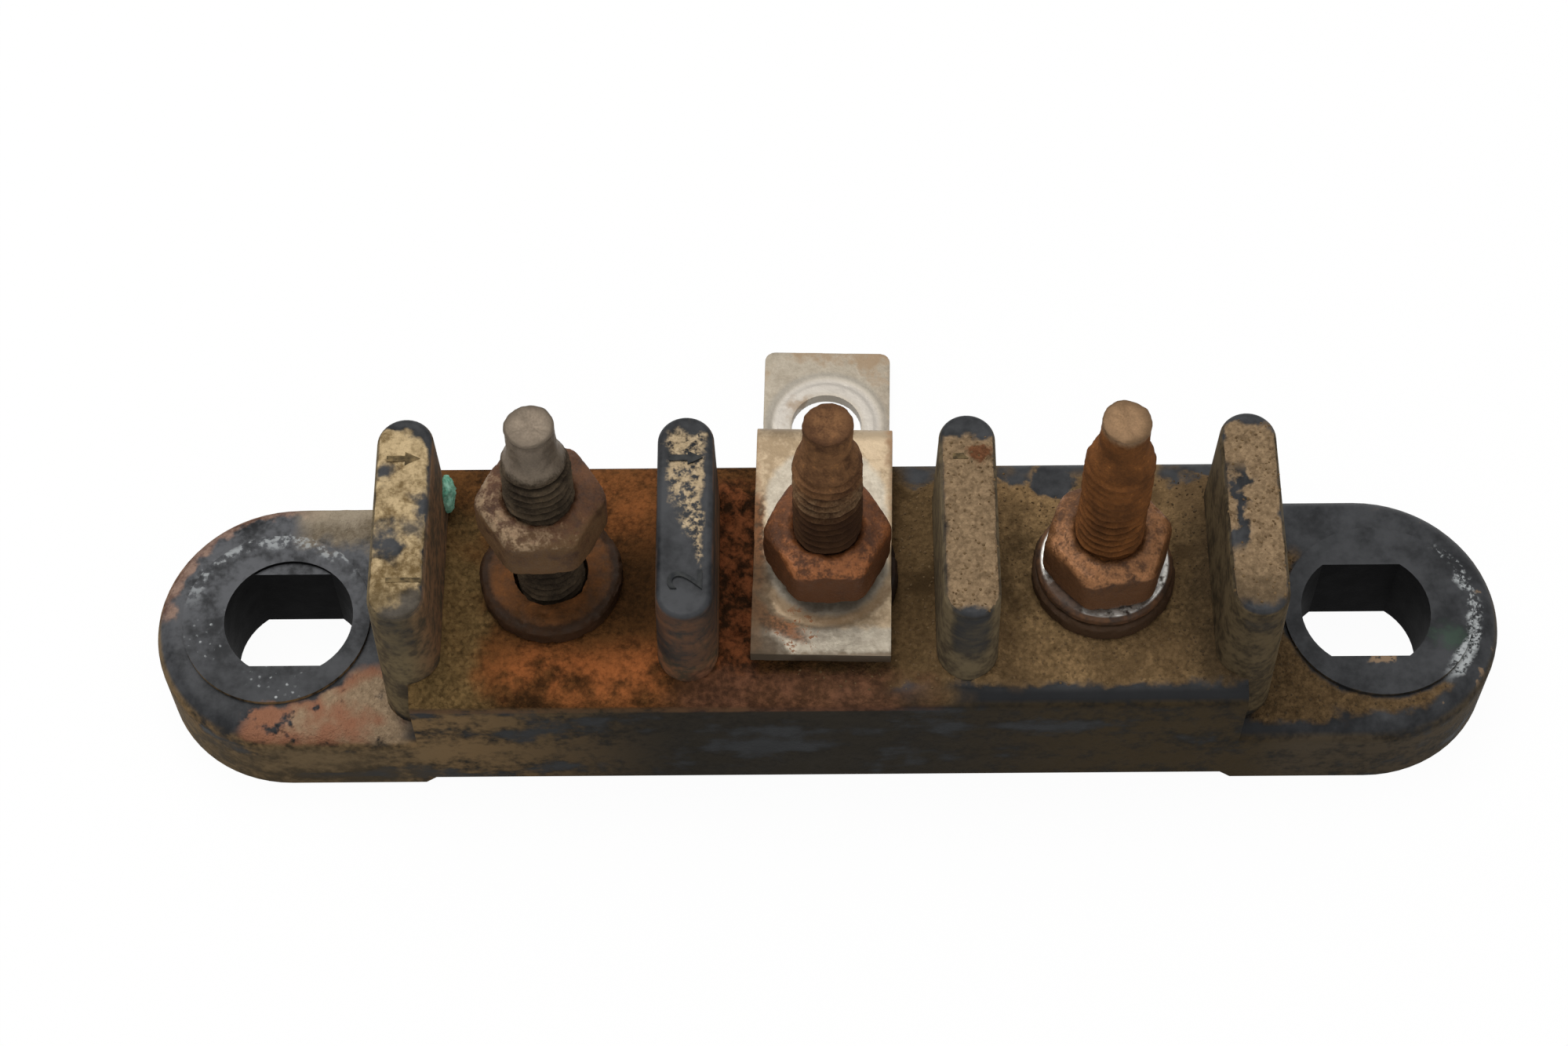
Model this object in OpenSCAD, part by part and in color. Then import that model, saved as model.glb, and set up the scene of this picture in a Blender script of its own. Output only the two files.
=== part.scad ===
// Three-stud barrier terminal block with a link bar on the middle stud.
// Millimetres, +Z up. The origin lies midway between the two mounting holes,
// on the plane that the ears are screwed down to. The cables leave along Y.

/* [Base block] */
// Distance from one stud, and one barrier, to the next
stud_pitch = 24; // [23:0.1:26]
// Width of the block and of the ears, front to back
body_width = 24; // [23:0.1:28]
// Height of the block's top face above the mounting plane
block_top = 15.4; // [13:0.1:19]
// Rounding of the block's long top edges
block_edge_radius = 1.4; // [0.5:0.1:2.5]
// Gap left under the block, between the ears
underside_lift = 1.0; // [0.4:0.1:2]

/* [Mounting ears] */
// Distance between the two mounting holes
hole_spacing = 96; // [94:0.1:106]
// Height of the ears' top face above the mounting plane
ear_height = 8.6; // [7:0.1:11]
// Rounding of the ears' top edge
ear_edge_radius = 1.9; // [0.5:0.1:2.4]
// Radius of the raised seat for the screw head
seat_radius = 8.4; // [7.2:0.1:9]
// Height of the raised seat above the ear
seat_height = 0.4; // [0.2:0.1:1]
// Distance of the seat's centre outward of the hole's centre
seat_offset = 1.1; // [0:0.1:1.4]
// Radius of the mounting hole's round ends
hole_radius = 5.75; // [5:0.05:6.4]
// Distance across the mounting hole's two flats
hole_flats = 9.2; // [6.5:0.1:9.8]
// Depth of the counterbore round the left mounting hole
left_ledge_depth = 0.4; // [0.2:0.1:1.5]

/* [Barriers] */
// Thickness of a barrier at the block's top face
barrier_thickness = 5.3; // [4:0.1:6.5]
// Length of a barrier at the block's top face, round ends included
barrier_length = 20.2; // [17:0.1:21.8]
// Height of a barrier above the block's top face
barrier_height = 11.5; // [6:0.1:14]
// Draft of a barrier's walls, in degrees
barrier_draft = 1.2; // [0.5:0.1:3]
// Rounding of a barrier's top edge
barrier_edge_radius = 0.6; // [0.3:0.1:1.5]

/* [Studs] */
// Diameter of the stud over its thread
stud_diameter = 6.0; // [5:0.1:6.6]
// Length of the stud under its head
stud_length = 35; // [33:0.1:44]
// Distance across the flats of the stud's hex head
head_flats = 10; // [9:0.1:11]
// Height of the stud's hex head
head_height = 4.0; // [3:0.1:5]
// Depth of the stud's head inside the block's underside
head_recess = 1.6; // [0:0.1:2.5]
// Diameter of the plain tip that guides a nut on
tip_diameter = 4.2; // [3.4:0.1:4.6]
// Length of the plain tip
tip_length = 3.0; // [1.5:0.1:4]
// Length of the taper from the tip to the thread
tip_taper = 3.6; // [1:0.1:5]

/* [Contact washers] */
// Outside diameter of the contact washer on the block
contact_diameter = 12.5; // [12:0.1:15]
// Thickness of the contact washer
contact_thickness = 1.9; // [1:0.1:3]
// Bevel on the contact washer's rims
contact_bevel = 0.3; // [0.1:0.05:0.45]

/* [Flat washer] */
// Outside diameter of the flat washer under the right nut
flat_washer_diameter = 11.8; // [11.4:0.1:14]
// Thickness of the flat washer
flat_washer_thickness = 1.1; // [0.8:0.1:2]
// Bevel on the flat washer's upper rim
flat_washer_bevel = 0.25; // [0.1:0.05:0.35]

/* [Nuts] */
// Distance across a nut's flats
nut_flats = 10; // [9.4:0.1:10.8]
// Height of a nut
nut_height = 5.3; // [4.5:0.1:6.5]
// Angle of the chamfer on a nut's corners, in degrees
nut_chamfer_angle = 30; // [20:1:40]
// How much rust and wear have taken off the distance across a nut's corners
nut_wear = 0.45; // [0:0.05:0.8]
// How far the chamfer runs in from a nut's flats, on its two faces
nut_chamfer_reach = 0.6; // [0.1:0.1:1]
// Depth of the countersink at each end of a nut's bore
nut_sink = 0.4; // [0.1:0.1:0.6]
// How far the left nut is backed off above its contact washer
left_nut_gap = 7.9; // [2:0.1:10]
// How far the middle nut is backed off above the link bar
middle_nut_gap = 1.2; // [0:0.1:4]
// Turn of the left nut's flats from the block's front, in degrees
left_nut_turn = 3; // [-30:1:30]
// Turn of the middle nut's flats from the block's front, in degrees
middle_nut_turn = 1; // [-30:1:30]
// Turn of the right nut's flats from the block's front, in degrees
right_nut_turn = 10; // [-30:1:30]

/* [Link bar] */
// Width of the link bar
bar_width = 12; // [10:0.1:14]
// Thickness of the link bar
bar_thickness = 1.2; // [0.8:0.1:2]
// Reach of the link bar in front of its stud
bar_front = 9; // [8:0.1:11]
// Inside radius of the link bar's two bends
bar_bend_radius = 0.8; // [0.4:0.1:1.5]
// Length of the lower tab behind the link bar's leg
tab_length = 18.2; // [15:0.1:30]
// Rounding of the tab's two far corners
tab_corner_radius = 1.0; // [0.4:0.1:3]
// How far the link bar is pushed to the left on its stud
bar_shift = 0.4; // [0:0.05:0.45]
// Turn of the link bar on its stud, in degrees
bar_turn = -1.5; // [-3:0.5:3]
// Diameter of the screw hole in the tab
tab_hole_diameter = 6.6; // [4:0.1:7.4]
// Distance of the tab's screw hole from the tab's far edge
tab_hole_edge = 8.1; // [6:0.1:9]
// Height of the tab's underside above the mounting plane
tab_lift = 0.1; // [0.1:0.1:3]

/* [Fits] */
// Radial play of the stud in the moulded block
block_play = 0.05; // [0.05:0.05:0.2]
// Radial play of the stud in a nut, over the thread's crests
nut_play = 0.05; // [0.05:0.05:0.2]
// Radial play of the stud in the washers
washer_play = 0.2; // [0.1:0.05:0.4]
// Radial play of the stud in the link bar's hole
bar_hole_play = 0.5; // [0.5:0.05:0.8]
// Gap between the link bar's leg and the back of the block
bar_gap = 1.1; // [0.4:0.1:2]

/* [Hidden] */
$fn = 64;

through = 1;
stud_places = [-stud_pitch, 0, stud_pitch];
half_block = 1.5 * stud_pitch;
barrier_places = [-half_block, -stud_pitch / 2, stud_pitch / 2, half_block];
half_holes = hole_spacing / 2;
half_width = body_width / 2;
stud_radius = stud_diameter / 2;
hex_corner = 1 / cos(30);
head_bottom = underside_lift + head_recess;
head_top = head_bottom + head_height;
stud_top = head_top + stud_length;
contact_top = block_top + contact_thickness;
bar_top = contact_top + bar_thickness;
flat_washer_top = contact_top + flat_washer_thickness;

steel = [0.42, 0.30, 0.20];
rusted_steel = [0.45, 0.24, 0.12];
moulding = [0.17, 0.18, 0.20];
tinned_copper = [0.66, 0.64, 0.60];
zinc = [0.70, 0.69, 0.66];

// Half of an upright section with a rounded outer top corner
module rounded_half(reach, height, radius) {
    square([reach - radius, height]);
    square([reach, height - radius]);
    translate([reach - radius, height - radius]) circle(radius);
}

// The same section to both sides of the middle
module rounded_section(reach, height, radius) {
    rounded_half(reach, height, radius);
    mirror([1, 0]) rounded_half(reach, height, radius);
}

// Body that runs along X from one end to the other
module along_x(start, end) {
    translate([start, 0, 0]) rotate([90, 0, 90]) linear_extrude(end - start) children();
}

// Ear on the right end, with its round end and its sloped inner foot
module ear() {
    difference() {
        union() {
            translate([half_holes, 0, 0]) rotate([0, 0, -90])
                rotate_extrude(angle = 180) rounded_half(half_width, ear_height, ear_edge_radius);
            along_x(half_block - underside_lift, half_holes)
                rounded_section(half_width, ear_height, ear_edge_radius);
            translate([half_holes + seat_offset, 0, 0])
                cylinder(r = seat_radius, h = ear_height + seat_height);
        }
        foot_slope();
    }
}

// Slope cut under the inner edge of the right ear
module foot_slope() {
    start = half_block - underside_lift;
    rotate([90, 0, 0]) linear_extrude(body_width + 2 * through, center = true)
        polygon([[start - through, -through], [start + underside_lift + through, -through],
            [start + underside_lift, 0], [start, underside_lift], [start - through, underside_lift]]);
}

// Through hole with two flats
module mounting_hole() {
    bottom = -through;
    height = ear_height + seat_height + 2 * through;
    intersection() {
        translate([0, 0, bottom]) cylinder(r = hole_radius, h = height);
        translate([-hole_radius, -hole_flats / 2, bottom]) cube([2 * hole_radius, hole_flats, height]);
    }
}

// Half of a barrier's upright section, with draft and a rounded top
module barrier_half(foot) {
    reach = barrier_thickness / 2 + foot * tan(barrier_draft);
    height = barrier_height + foot;
    turn = height - barrier_edge_radius;
    shoulder = reach - turn * tan(barrier_draft);
    inner = shoulder - barrier_edge_radius;
    polygon([[0, 0], [reach, 0], [shoulder, turn], [inner, height], [0, height]]);
    translate([inner, turn]) circle(barrier_edge_radius);
}

// Upright barrier with round ends, whose foot reaches below the block's top face
module barrier(foot) {
    half_run = (barrier_length - barrier_thickness) / 2;
    translate([0, 0, block_top - foot]) {
        rotate([90, 0, 0]) linear_extrude(2 * half_run, center = true) {
            barrier_half(foot);
            mirror([1, 0]) barrier_half(foot);
        }
        for (side = [0, 1]) mirror([0, side, 0])
            translate([0, half_run, 0]) rotate_extrude(angle = 180) barrier_half(foot);
    }
}

// Hole for a stud, with the hex pocket for its head below
module stud_seat() {
    cylinder(r = stud_radius + block_play, h = block_top + through);
    cylinder(r = (head_flats / 2 + block_play) * hex_corner, h = head_top, $fn = 6);
}

// Hex stud set in the block from below
module stud(x) {
    thread_end = stud_top - tip_length - tip_taper;
    color(steel) translate([x, 0, 0]) {
        translate([0, 0, head_bottom]) cylinder(r = head_flats / 2 * hex_corner, h = head_height, $fn = 6);
        translate([0, 0, head_top]) cylinder(d = stud_diameter, h = thread_end - head_top);
        translate([0, 0, thread_end]) cylinder(d1 = stud_diameter, d2 = tip_diameter, h = tip_taper);
        translate([0, 0, thread_end + tip_taper]) cylinder(d = tip_diameter, h = tip_length);
    }
}

// Round washer with bevelled rims
module washer(diameter, thickness, top_bevel, bottom_bevel) {
    inner = stud_radius + washer_play;
    outer = diameter / 2;
    rotate_extrude()
        polygon([[inner, 0], [outer - bottom_bevel, 0], [outer, bottom_bevel],
            [outer, thickness - top_bevel], [outer - top_bevel, thickness], [inner, thickness]]);
}

// Hex nut with blunt, chamfered corners and a countersunk bore
module nut() {
    bore = stud_radius + nut_play;
    sharp_corner = nut_flats / 2 * hex_corner;
    corner = sharp_corner - nut_wear / 2;
    face = nut_flats / 2 - nut_chamfer_reach;
    bevel = (corner - face) * tan(nut_chamfer_angle);
    difference() {
        intersection() {
            cylinder(r = sharp_corner, h = nut_height, $fn = 6);
            rotate_extrude()
                polygon([[0, 0], [face, 0], [corner, bevel], [corner, nut_height - bevel],
                    [face, nut_height], [0, nut_height]]);
        }
        translate([0, 0, -through]) cylinder(r = bore, h = nut_height + 2 * through);
        translate([0, 0, nut_height - nut_sink]) cylinder(r1 = bore, r2 = bore + nut_sink, h = nut_sink);
        cylinder(r1 = bore + nut_sink, r2 = bore, h = nut_sink);
    }
}

module base() {
    color(moulding) difference() {
        union() {
            translate([0, 0, underside_lift]) along_x(-half_block, half_block)
                rounded_section(half_width, block_top - underside_lift, block_edge_radius);
            for (side = [0, 1]) mirror([side, 0, 0]) ear();
            for (x = barrier_places)
                translate([x, 0, 0]) barrier(abs(x) == half_block ? block_top - ear_height : 0);
        }
        for (x = stud_places) translate([x, 0, 0]) stud_seat();
        for (side = [-1, 1]) translate([side * half_holes, 0, 0]) mounting_hole();
        translate([-half_holes, 0, ear_height + seat_height - left_ledge_depth])
            cylinder(r = hole_radius, h = left_ledge_depth + through);
    }
}

module stud_left() { stud(stud_places[0]); }
module stud_middle() { stud(stud_places[1]); }
module stud_right() { stud(stud_places[2]); }

module contact_washer(x) {
    color(rusted_steel) translate([x, 0, block_top])
        washer(contact_diameter, contact_thickness, contact_bevel, contact_bevel);
}
module contact_washer_left() { contact_washer(stud_places[0]); }
module contact_washer_middle() { contact_washer(stud_places[1]); }
module contact_washer_right() { contact_washer(stud_places[2]); }

module flat_washer_right() {
    color(zinc) translate([stud_places[2], 0, contact_top])
        washer(flat_washer_diameter, flat_washer_thickness, flat_washer_bevel, flat_washer_bevel);
}

module placed_nut(x, bottom, turn) {
    color(rusted_steel) translate([x, 0, bottom]) rotate([0, 0, turn]) nut();
}
module nut_left() { placed_nut(stud_places[0], contact_top + left_nut_gap, left_nut_turn); }
module nut_middle() { placed_nut(stud_places[1], bar_top + middle_nut_gap, middle_nut_turn); }
module nut_right() { placed_nut(stud_places[2], flat_washer_top, right_nut_turn); }

// Quarter turn of the link bar's strip, about the origin
module bar_bend() {
    outer = bar_bend_radius + bar_thickness;
    intersection() {
        difference() {
            circle(outer);
            circle(bar_bend_radius);
        }
        square(outer);
    }
}

// Side view of the bent strip, front to the left
module bar_side() {
    leg_inner = half_width + bar_gap;
    leg_outer = leg_inner + bar_thickness;
    tab_top = tab_lift + bar_thickness;
    upper_turn = [leg_inner - bar_bend_radius, contact_top - bar_bend_radius];
    lower_turn = [leg_outer + bar_bend_radius, tab_top + bar_bend_radius];
    translate([-bar_front, contact_top]) square([bar_front + upper_turn[0], bar_thickness]);
    translate(upper_turn) bar_bend();
    translate([leg_inner, lower_turn[1]]) square([bar_thickness, upper_turn[1] - lower_turn[1]]);
    translate(lower_turn) rotate(180) bar_bend();
    translate([lower_turn[0], tab_lift]) square([leg_outer + tab_length - lower_turn[0], bar_thickness]);
}

// Square corner of the tab, cut away outside its rounding
module tab_corner() {
    difference() {
        cube([tab_corner_radius + through, tab_corner_radius + through, bar_thickness + 2 * through]);
        translate([0, 0, -through]) cylinder(r = tab_corner_radius, h = bar_thickness + 4 * through);
    }
}

// Bent strip from the middle stud, down behind the block to a screw tab
module link_bar() {
    tab_end = half_width + bar_gap + bar_thickness + tab_length;
    corner = [bar_width / 2 - tab_corner_radius, tab_end - tab_corner_radius];
    color(tinned_copper) translate([-bar_shift, 0, 0]) rotate([0, 0, bar_turn]) difference() {
        along_x(-bar_width / 2, bar_width / 2) bar_side();
        translate([0, 0, contact_top - through])
            cylinder(r = stud_radius + bar_hole_play, h = bar_thickness + 2 * through);
        translate([0, tab_end - tab_hole_edge, tab_lift - through])
            cylinder(d = tab_hole_diameter, h = bar_thickness + 2 * through);
        for (side = [0, 1]) mirror([side, 0, 0])
            translate([corner[0], corner[1], tab_lift - through]) tab_corner();
    }
}

base();
stud_left();
stud_middle();
stud_right();
contact_washer_left();
contact_washer_middle();
contact_washer_right();
flat_washer_right();
nut_left();
nut_middle();
nut_right();
link_bar();
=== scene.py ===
import math

import bmesh
import bpy
from mathutils import Matrix, Vector


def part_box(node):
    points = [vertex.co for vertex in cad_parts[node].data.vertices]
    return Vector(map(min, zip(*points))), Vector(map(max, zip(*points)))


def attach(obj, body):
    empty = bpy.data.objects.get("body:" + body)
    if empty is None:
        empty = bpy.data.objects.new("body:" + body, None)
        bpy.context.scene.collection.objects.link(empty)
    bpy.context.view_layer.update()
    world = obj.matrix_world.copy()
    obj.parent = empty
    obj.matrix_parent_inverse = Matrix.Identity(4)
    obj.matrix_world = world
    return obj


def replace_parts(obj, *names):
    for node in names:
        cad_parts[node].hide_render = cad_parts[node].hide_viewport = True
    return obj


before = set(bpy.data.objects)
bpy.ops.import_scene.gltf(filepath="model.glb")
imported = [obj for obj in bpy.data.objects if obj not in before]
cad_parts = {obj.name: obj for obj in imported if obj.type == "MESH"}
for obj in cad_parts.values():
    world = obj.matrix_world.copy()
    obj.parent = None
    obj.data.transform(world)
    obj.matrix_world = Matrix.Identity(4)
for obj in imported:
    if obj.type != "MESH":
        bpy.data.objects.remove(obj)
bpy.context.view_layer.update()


# Studio: a pale floor, soft light from overhead and a white surround.
# The camera stands in front of the block and looks down on it at about 60 degrees, as a
# catalogue photographer does for a part that lies on a table.
MM = 0.001
camera_place = Vector((-2.05, -131.18, 256.57)) * MM
camera_turn, camera_tilt, camera_roll = (math.radians(a) for a in (0.702, 29.579, -1.05))
camera_lens = 72.15
floor_reach = 3.0
floor_tone = (0.4, 0.4, 0.39, 1)
floor_glow, floor_white = 0.9, 1.07
surround_light = 0.45
lamps = {
    "overhead_box": (Vector((-0.12, 0.16, 0.60)), 0.45, 2.1),
    "front_box": (Vector((0.30, -0.45, 0.45)), 0.35, 0.25),
}


class Field:
    """A socket of a node tree. Arithmetic on it adds the Math nodes that the formula needs."""

    def __init__(self, socket):
        self.socket = socket
        self.tree = socket.id_data

    @classmethod
    def node(cls, tree, kind, settings=None, sockets=None, output=0):
        """Any node: its settings first, then values or links of its sockets."""
        node = tree.nodes.new(kind)
        for name, value in (settings or {}).items():
            setattr(node, name, value)
        for key, value in (sockets or {}).items():
            if isinstance(value, Field):
                tree.links.new(value.socket, node.inputs[key])
            else:
                node.inputs[key].default_value = value
        return cls(node.outputs[output])

    def math(self, operation, *values):
        """A Math node on this field and the values."""
        sockets = dict(enumerate((self, *values)))
        return Field.node(self.tree, "ShaderNodeMath", {"operation": operation}, sockets)

    def __add__(self, other):
        return self.math("ADD", other)

    def __sub__(self, other):
        return self.math("SUBTRACT", other)

    def __mul__(self, other):
        return self.math("MULTIPLY", other)

    def __truediv__(self, other):
        return self.math("DIVIDE", other)

    def __neg__(self):
        return self.math("MULTIPLY", -1.0)

    def __rsub__(self, other):
        return -self + other

    __radd__ = __add__
    __rmul__ = __mul__

    def most(self, other):
        return self.math("MAXIMUM", other)

    def least(self, other):
        return self.math("MINIMUM", other)

    def size(self):
        return self.math("ABSOLUTE")

    def step(self, low, high):
        """0 below low, 1 above high, and a smooth rise between them."""
        ends = {"Value": self, "From Min": low, "From Max": high}
        return Field.node(self.tree, "ShaderNodeMapRange", {"interpolation_type": "SMOOTHSTEP"}, ends)

    def fall(self, low, high):
        """1 below low, 0 above high, and a smooth fall between them."""
        return 1 - self.step(low, high)

    def band(self, low, high, soft):
        """1 between low and high, with soft ends."""
        return self.step(low - soft, low + soft) * self.fall(high - soft, high + soft)

    def blend(self, under, over):
        """The colour under where this is 0, and the colour over where it is 1."""
        colours = {0: self, 6: under, 7: over}
        return Field.node(self.tree, "ShaderNodeMix", {"data_type": "RGBA"}, colours, output=2)


def link(piece):
    """Put a new object into the scene."""
    bpy.context.scene.collection.objects.link(piece)
    return piece


def seen_directly(tree):
    """1 for what the camera, a reflection or glass shows, and 0 for light that falls on the object."""
    path = Field.node(tree, "ShaderNodeLightPath", output="Is Camera Ray")
    glossy, clear = (Field(path.socket.node.outputs[f"Is {ray} Ray"]) for ray in ("Glossy", "Transmission"))
    return path.most(glossy).most(clear)


world = bpy.data.worlds.new("studio")
bpy.context.scene.world = world
world.use_nodes = True
backdrop = world.node_tree.nodes["Background"]
backdrop.inputs["Color"].default_value = (1, 1, 1, 1)
glow = seen_directly(world.node_tree) * (1 - surround_light) + surround_light
world.node_tree.links.new(glow.socket, backdrop.inputs["Strength"])

floor_mesh = bpy.data.meshes.new("floor")
corners = [(x * floor_reach, y * floor_reach, 0) for x, y in ((-1, -1), (1, -1), (1, 1), (-1, 1))]
floor_mesh.from_pydata(corners, [], [(0, 1, 2, 3)])
floor = link(bpy.data.objects.new("floor", floor_mesh))
pale = bpy.data.materials.new("pale_floor")
pale.use_nodes = True
nodes = pale.node_tree.nodes
matt = nodes["Principled BSDF"]
matt.inputs["Base Color"].default_value = floor_tone
matt.inputs["Roughness"].default_value = 0.9
matt.inputs["Specular IOR Level"].default_value = 0.1
white = Field.node(pale.node_tree, "ShaderNodeEmission", {}, {"Color": (1, 1, 1, 1), "Strength": floor_white})
shares = {0: seen_directly(pale.node_tree) * floor_glow, 1: Field(matt.outputs[0]), 2: white}
sweep = Field.node(pale.node_tree, "ShaderNodeMixShader", {}, shares)
pale.node_tree.links.new(sweep.socket, nodes["Material Output"].inputs["Surface"])
floor_mesh.materials.append(pale)

for name, (place, width, watts) in lamps.items():
    lamp = bpy.data.lights.new(name, "AREA")
    lamp.size, lamp.energy = width, watts
    box = link(bpy.data.objects.new(name, lamp))
    box.matrix_world = Matrix.Translation(place) @ place.to_track_quat("Z", "Y").to_matrix().to_4x4()

lens = bpy.data.cameras.new("camera")
lens.lens, lens.sensor_width = camera_lens, 36.0
lens.clip_start, lens.clip_end = 0.01, 20.0
camera = link(bpy.data.objects.new("camera", lens))
aim = Matrix.Rotation(camera_turn, 4, "Z") @ Matrix.Rotation(camera_tilt, 4, "X")
camera.matrix_world = Matrix.Translation(camera_place) @ aim @ Matrix.Rotation(camera_roll, 4, "Z")
bpy.context.scene.camera = camera
bpy.context.scene.view_settings.view_transform = "Standard"


# Base: one moulding in black phenolic, screwed down through its two ears, with four barriers
# between the terminals. Soil has built up in the bays and on the barriers' tops, rust has run
# off the terminals, and only the screw seats on the ears stayed clean.
def paint(red, green, blue):
    """A colour as it looks on the object, 0 to 255, in the linear light that the shader takes."""
    return tuple(((c / 255 + 0.055) / 1.055) ** 2.4 for c in (red, green, blue)) + (1.0,)


slate, slate_worn = paint(25, 26, 28), paint(64, 65, 67)
slate_dusty, slate_wall = paint(92, 93, 96), paint(42, 43, 44)
barrier_x = (-36.0, -12.0, 12.0, 36.0)
barrier_top, block_top, ear_top = 26.9, 15.4, 8.6
bay_reach, barrier_reach = 36.2, 38.9
hole_x, seat_x, seat_radius = 48.0, 49.1, 8.4
build_up = {"soil": 0.34, "rust": 0.3, "flakes": 0.75, "crust": 0.2}
grid_step, flat_angle, weld_distance = 0.7, 0.02, 1e-7
sharp_from = math.radians(38)
seed_step = (17.31, 5.77, 11.13)
MARK = "mark"


class Spot:
    """Where a surface is, in millimetres, and how far it faces up, to the side or to the front."""

    def __init__(self, tree, position, normal):
        self.tree, self.normal = tree, normal
        self.mm = Spot.scaled(tree, position, 1 / MM)
        self.x, self.y, self.z = Spot.split(tree, self.mm)
        side, behind, self.up = Spot.split(tree, normal)
        self.side, self.ahead = side.size(), -behind

    @staticmethod
    def split(tree, vector):
        """A vector's x, y and z."""
        parts = Field.node(tree, "ShaderNodeSeparateXYZ", {}, {"Vector": vector})
        return [Field(part) for part in parts.socket.node.outputs]

    @staticmethod
    def scaled(tree, vector, factor):
        """A vector times a factor."""
        return Field.node(tree, "ShaderNodeVectorMath", {"operation": "SCALE"}, {0: vector, "Scale": factor})

    def spread(self, size, seed, stretch=(1, 1, 1)):
        """Where a texture with features of that size in mm is read, moved on by its seed."""
        shift = tuple(seed * s for s in seed_step)
        sockets = {0: self.mm, 1: tuple(s / size for s in stretch), 2: shift}
        return Field.node(self.tree, "ShaderNodeVectorMath", {"operation": "MULTIPLY_ADD"}, sockets)

    def noise(self, size, detail, seed, stretch=(1, 1, 1)):
        """Cloudy variation about 0, mostly within a quarter either way, with features of that size in mm."""
        place = self.spread(size, seed, stretch)
        sockets = {"Vector": place, "Scale": 1.0, "Detail": detail, "Roughness": 0.55}
        return Field.node(self.tree, "ShaderNodeTexNoise", {}, sockets) - 0.5

    def cells(self, size, seed):
        """Packed cells of that size in mm: how far a point is from its cell's middle."""
        sockets = {"Vector": self.spread(size, seed), "Scale": 1.0}
        return Field.node(self.tree, "ShaderNodeTexVoronoi", {}, sockets)

    def grains(self, size, seed):
        """Packed grains of that size in mm: a tone for each, 0 to 1, and how near the gap between them is."""
        middle = self.cells(size, seed)
        # The Math node makes one grey tone of each grain's random colour
        tone = Field(middle.socket.node.outputs["Color"]) * 1.0
        return tone, middle.step(0.45, 0.8)

    def away(self, x, y):
        """Distance from an upright axis at x, y."""
        across, along = self.x - x, self.y - y
        return (across * across + along * along).math("SQRT")

    def mark(self):
        """The share that the piece's own shaping rule left on its surface."""
        return Field.node(self.tree, "ShaderNodeAttribute", {"attribute_name": MARK}, output="Fac")

    def bump(self, height):
        """A small relief, its height in mm."""
        sockets = {"Height": height, "Distance": MM, "Strength": 1.0}
        return Field.node(self.tree, "ShaderNodeBump", {}, sockets)


def finish(name, recipe, **constants):
    """A material: the recipe gives what changes over the surface, the constants sit on the shader itself."""
    material = bpy.data.materials.new(name)
    material.use_nodes = True
    tree = material.node_tree
    shader = tree.nodes["Principled BSDF"]
    for socket, value in constants.items():
        shader.inputs[socket.replace("_", " ")].default_value = value
    where = Field.node(tree, "ShaderNodeTexCoord", output="Object")
    facing = Field.node(tree, "ShaderNodeTexCoord", output="Normal")
    for socket, value in recipe(Spot(tree, where, facing)).items():
        tree.links.new(value.socket, shader.inputs[socket])
    return material


def shell_of(node):
    """A CAD node's surface, its loose triangles joined up."""
    shell = bmesh.new()
    shell.from_mesh(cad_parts[node].data)
    bmesh.ops.remove_doubles(shell, verts=shell.verts, dist=weld_distance)
    return shell


def piece_from(shell, name):
    """A new piece from a surface, without the shading normals that came with the CAD model."""
    mesh = bpy.data.meshes.new(name)
    shell.to_mesh(mesh)
    shell.free()
    mesh.attributes.remove(mesh.attributes["custom_normal"])
    return link(bpy.data.objects.new(name, mesh))


def gridded_copy(node, name, step):
    """A CAD node's shape with its faces cut to a fine grid, every edge left where it was."""
    shell = shell_of(node)
    bmesh.ops.dissolve_limit(shell, angle_limit=flat_angle, verts=shell.verts, edges=shell.edges)
    low, high = (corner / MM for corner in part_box(node))
    for axis in range(3):
        normal = Vector([axis == i for i in range(3)])
        count = math.floor((high[axis] - low[axis]) / step)
        first = (low[axis] + high[axis] - count * step) / 2
        for i in range(count + 1):
            whole = shell.verts[:] + shell.edges[:] + shell.faces[:]
            cut = normal * (first + i * step) * MM
            bmesh.ops.bisect_plane(shell, geom=whole, plane_co=cut, plane_no=normal, dist=weld_distance)
    return piece_from(shell, name)


def keep_mesh(piece):
    """Turn what the modifiers make into the piece's own plain mesh."""
    result = piece.evaluated_get(bpy.context.evaluated_depsgraph_get())
    plain = bpy.data.meshes.new_from_object(result)
    piece.modifiers.clear()
    plain.name = piece.name
    piece.data = plain
    return piece


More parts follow.
